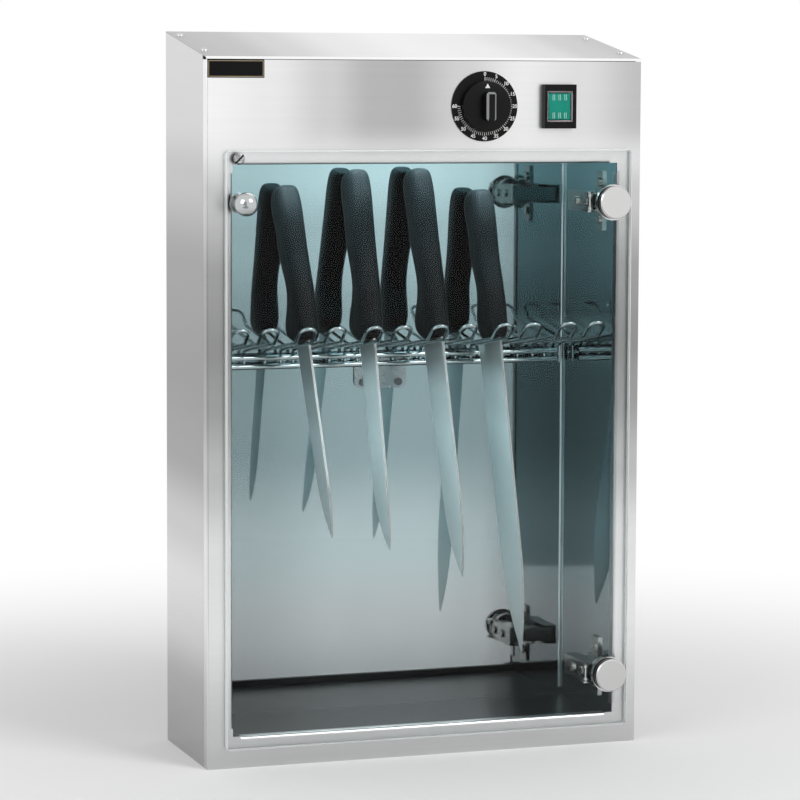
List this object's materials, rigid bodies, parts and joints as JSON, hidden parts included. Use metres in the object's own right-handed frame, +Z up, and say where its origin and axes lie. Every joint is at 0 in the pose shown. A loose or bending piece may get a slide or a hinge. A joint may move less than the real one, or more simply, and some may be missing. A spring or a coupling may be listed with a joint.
{
  "type": "knife sterilizer cabinet",
  "caption": "Wall-mounted stainless steel ultraviolet knife cabinet with a hinged clear door, timer dial, mains switch and wire rack holding knives.",
  "frame": {"origin": "middle of the cabinet's underside", "axes": "+X to the right seen from the front, +Y from the door to the wall behind, +Z up"},
  "size_m": [0.404, 0.167, 0.62],
  "materials": {
    "satin_steel": "fine satin",
    "screw_steel": "bright",
    "mirror_steel": "polished",
    "reflector_aluminium": "bright",
    "lamp_glass": "clear",
    "cap_aluminium": "satin",
    "white_plastic": "matt",
    "ballast_paint": "matt",
    "brass": "bright",
    "grey_plastic": "matt",
    "black_plastic": "low gloss",
    "black_print": "printed",
    "spindle_steel": "turned",
    "teal_plastic": "translucent",
    "clear_plastic": "clear",
    "rack_chrome": "polished",
    "bracket_steel": "satin",
    "hinge_nickel": "nickel plated",
    "cap_steel": "satin face, bright rim",
    "clear_acrylic": "clear",
    "knob_chrome": "polished",
    "handle_plastic": "fine grain",
    "blade_steel": "satin"
  },
  "bodies": {
    "cabinet": {"left_side_panel": "satin_steel", "right_side_panel": "satin_steel", "back_panel": "satin_steel", "bottom_panel": "satin_steel", "front_panel": "satin_steel", "roof_cover": "satin_steel", "roof_screws": "screw_steel", "timer_screws": "screw_steel", "door_switch_screws": "screw_steel", "rack_bracket_screws": "screw_steel", "hinge_screws": "screw_steel", "door_switch_bracket": "screw_steel", "chamber_back": "mirror_steel", "chamber_left_wall": "mirror_steel", "chamber_right_wall": "mirror_steel", "chamber_floor": "mirror_steel", "chamber_ceiling": "mirror_steel", "lamp_reflector": "reflector_aluminium", "lamp_tube": "lamp_glass", "lamp_end_caps": "cap_aluminium", "lamp_holders": "white_plastic", "starter": "white_plastic", "starter_socket": "white_plastic", "terminal_block": "white_plastic", "ballast": "ballast_paint", "earth_stud": "brass", "cable_gland": "grey_plastic", "timer_body": "black_plastic", "switch_housing": "black_plastic", "door_switch_body": "black_plastic", "timer_dial": "black_print", "name_plate": "black_print", "switch_cover": "clear_plastic", "rack_fingers": "rack_chrome", "rack_rods": "rack_chrome", "rack_bracket": "bracket_steel", "hinge_arms": "hinge_nickel", "hinge_plates": "hinge_nickel", "knife_1_handle": "handle_plastic", "knife_2_handle": "handle_plastic", "knife_3_handle": "handle_plastic", "knife_4_handle": "handle_plastic", "knife_1_blade": "blade_steel", "knife_2_blade": "blade_steel", "knife_3_blade": "blade_steel", "knife_4_blade": "blade_steel"},
    "timer_knob_and_spindle": {"timer_spindle": "spindle_steel", "timer_knob": "black_plastic"},
    "switch_rocker": {"switch_rocker": "teal_plastic"},
    "door_switch_plunger": {"door_switch_plunger": "black_plastic"},
    "hinge_links": {"hinge_links": "hinge_nickel", "hinge_arm_pins": "hinge_nickel", "hinge_cup_pins": "hinge_nickel"},
    "door": {"door_sheet": "clear_acrylic", "door_knob": "knob_chrome", "door_knob_screw": "screw_steel", "door_stud": "knob_chrome", "hinge_cups": "hinge_nickel", "hinge_caps": "cap_steel"}
  },
  "joints": [
    {"name": "link_swing", "type": "hinge", "parent": "cabinet", "child": "hinge_links", "pos_m": [0.151, -0.0575, 0.268], "axis": [0, 0, 1], "range_deg": [-40.5, 0]},
    {"name": "door_swing", "type": "hinge", "parent": "hinge_links", "child": "door", "pos_m": [0.176, -0.058, 0.268], "axis": [0, 0, 1], "range_deg": [0, 130.5]},
    {"name": "plunger_slide", "type": "slide", "parent": "cabinet", "child": "door_switch_plunger", "axis": [0, -1, 0], "range_m": [0, 0.0015]},
    {"name": "timer_turn", "type": "hinge", "parent": "cabinet", "child": "timer_knob_and_spindle", "pos_m": [0.05, -0.07, 0.557], "axis": [0, 1, 0], "range_deg": [0, 270]},
    {"name": "rocker_tilt", "type": "hinge", "parent": "cabinet", "child": "switch_rocker", "pos_m": [0.1173, -0.063, 0.557], "axis": [1, 0, 0], "range_deg": [-4, 4]}
  ],
  "couplings": [
    {"joint": "link_swing", "follows": "door_swing", "ratio": -0.31034},
    {"joint": "plunger_slide", "follows": "door_swing", "m_per_rad": 0.00063}
  ]
}
